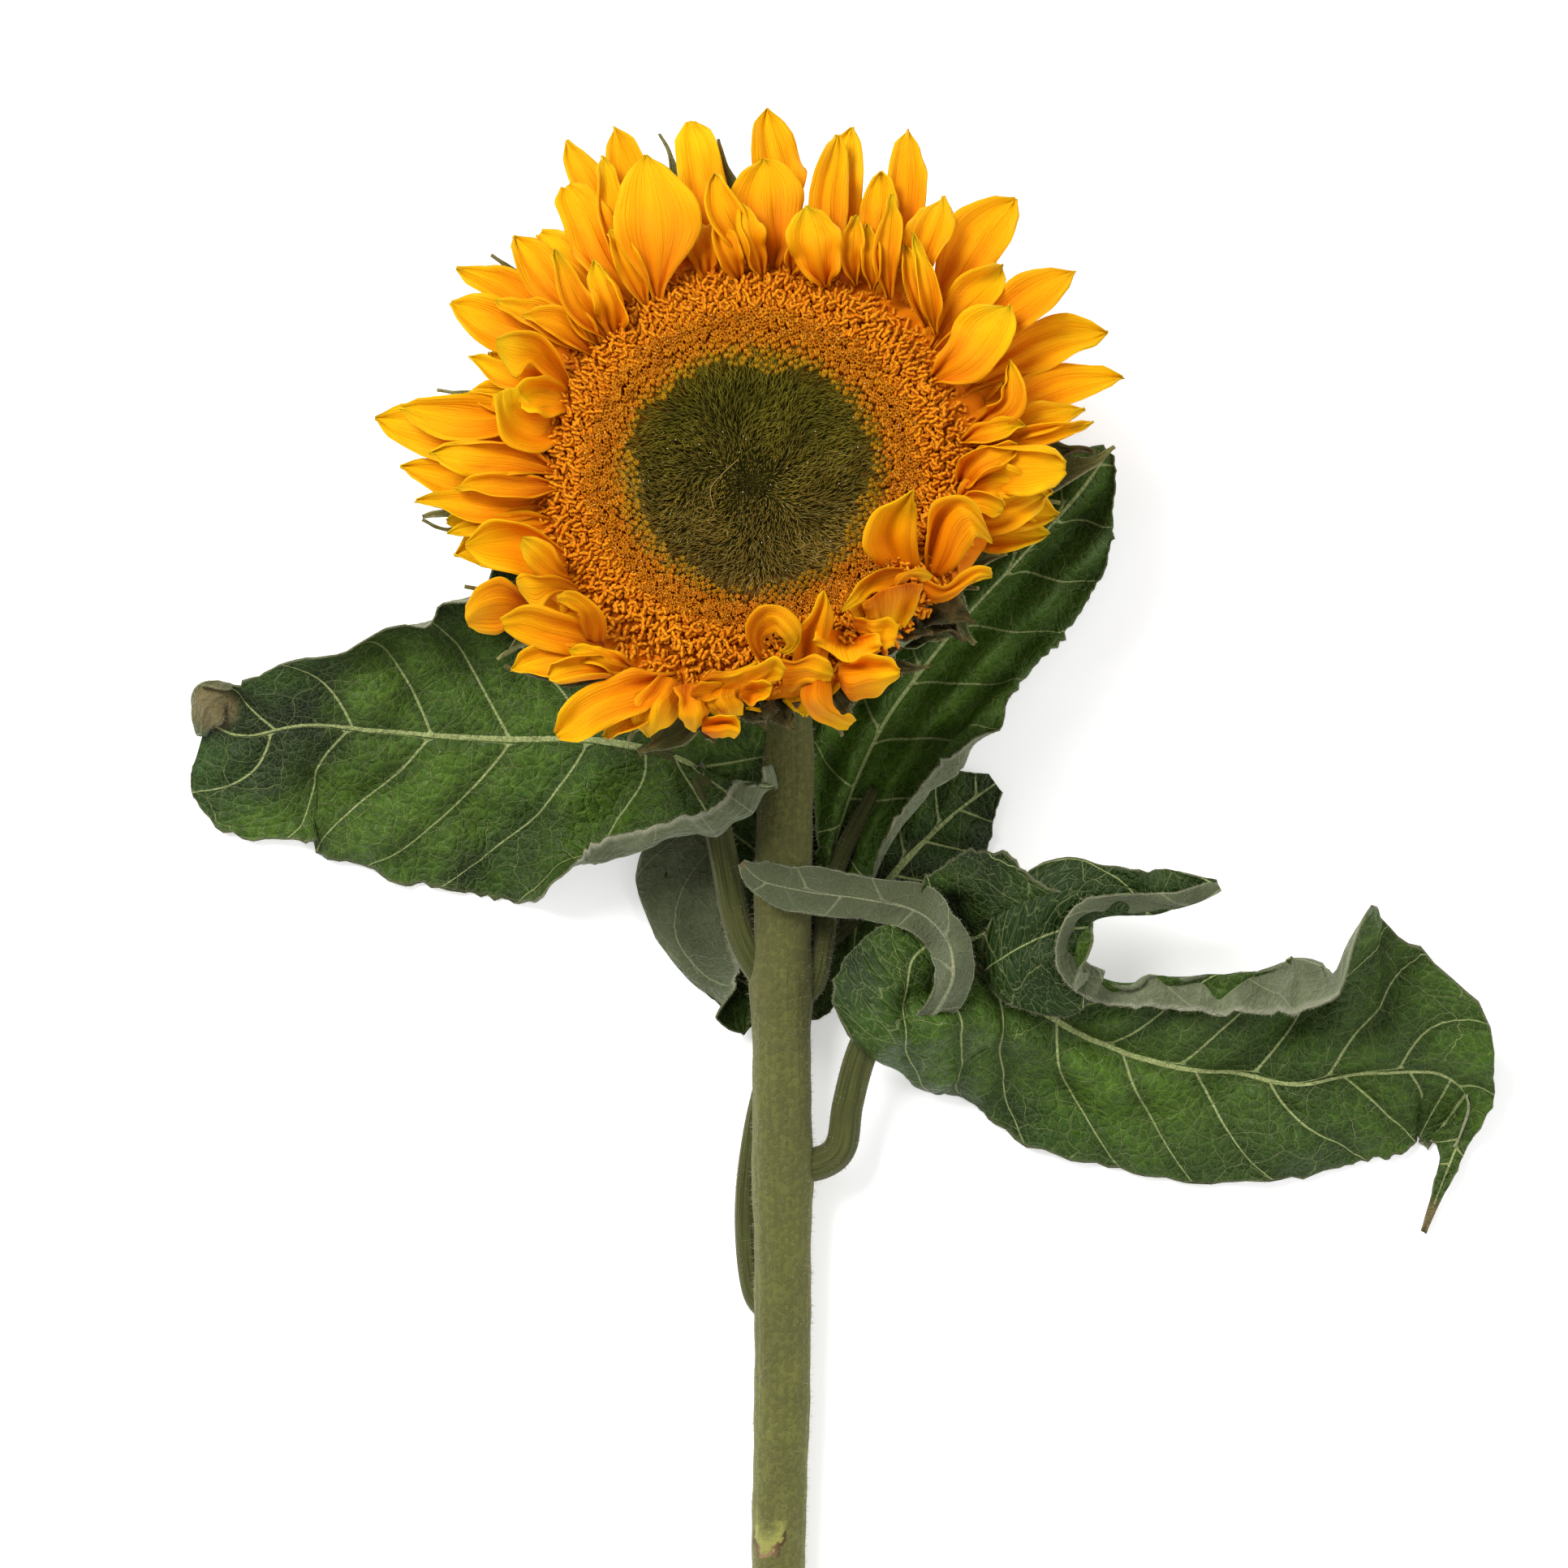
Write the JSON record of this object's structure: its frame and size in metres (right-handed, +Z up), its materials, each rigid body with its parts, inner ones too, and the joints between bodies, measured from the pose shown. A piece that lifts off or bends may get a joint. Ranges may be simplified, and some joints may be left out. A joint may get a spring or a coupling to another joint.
{
  "type": "cut sunflower",
  "caption": "Cut sunflower lying on its back: broad disc with yellow ray petals and green bracts on a stem with folded leaves.",
  "frame": {"origin": "middle of the bounding box's underside, on the surface that the flower lies on", "axes": "+Y along the stem from the cut end towards the head, +Z up, away from the surface"},
  "size_m": [0.234, 0.2783, 0.0611],
  "materials": {
    "stem": "matte",
    "leaf": "satin",
    "receptacle": "matte",
    "bract": "matte",
    "petal": "satin",
    "disc": "matte"
  },
  "bodies": {
    "root": {"stem": "stem", "receptacle": "receptacle", "disc": "disc", "petal_back_01": "petal", "petal_back_02": "petal", "petal_back_03": "petal", "petal_back_04": "petal", "petal_back_05": "petal", "petal_back_06": "petal", "petal_back_07": "petal", "petal_back_08": "petal", "petal_back_09": "petal", "petal_back_10": "petal", "petal_back_11": "petal", "petal_back_12": "petal", "petal_back_13": "petal", "petal_middle_01": "petal", "petal_middle_02": "petal", "petal_middle_03": "petal", "petal_middle_04": "petal", "petal_middle_05": "petal", "petal_middle_06": "petal", "petal_middle_07": "petal", "petal_middle_08": "petal", "petal_middle_09": "petal", "petal_middle_10": "petal", "petal_middle_11": "petal", "petal_middle_12": "petal", "petal_middle_13": "petal", "petal_middle_14": "petal", "petal_front_01": "petal", "petal_front_02": "petal", "petal_front_03": "petal", "petal_front_04": "petal", "petal_front_05": "petal", "petal_front_06": "petal", "petal_front_07": "petal", "petal_front_08": "petal", "petal_front_09": "petal", "petal_front_10": "petal", "petal_front_11": "petal", "petal_front_12": "petal", "petal_front_13": "petal", "bract_01": "bract", "bract_02": "bract", "bract_03": "bract", "bract_04": "bract", "bract_05": "bract", "bract_06": "bract", "bract_07": "bract", "bract_08": "bract", "bract_09": "bract", "bract_10": "bract", "bract_11": "bract", "bract_12": "bract", "leaf_left": "leaf", "leaf_right_lower": "leaf", "leaf_right_upper": "leaf", "leaf_right_small": "leaf", "leaf_back": "leaf"}
  },
  "joints": []
}
